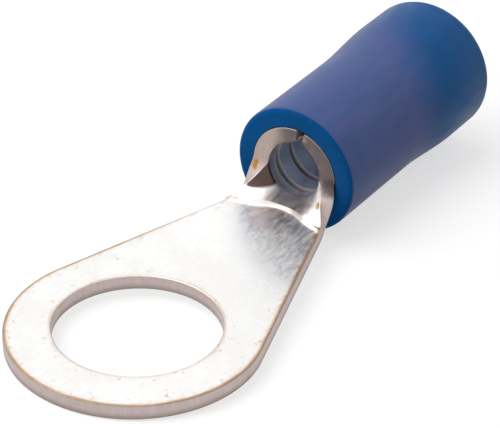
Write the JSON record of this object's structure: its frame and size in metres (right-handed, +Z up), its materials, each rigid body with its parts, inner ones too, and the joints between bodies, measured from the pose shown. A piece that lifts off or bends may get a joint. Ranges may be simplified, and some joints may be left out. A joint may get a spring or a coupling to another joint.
{
  "type": "ring terminal",
  "caption": "Insulated ring crimp terminal: a flat stamped ring that narrows into a rolled wire barrel, inside a blue flared plastic sleeve.",
  "frame": {"origin": "centre of the stud hole, on the underside of the ring", "axes": "+X from the ring along the barrel to the wire entry, +Z up out of the ring's top face, along the stud"},
  "size_m": [0.0262, 0.0098, 0.0058],
  "materials": {
    "tinned_copper": "bright tin plating over copper, copper showing through at the worn sheared edges",
    "blue_plastic": "satin moulded plastic"
  },
  "bodies": {
    "root": {"terminal": "tinned_copper", "insulating_sleeve": "blue_plastic"}
  },
  "joints": []
}
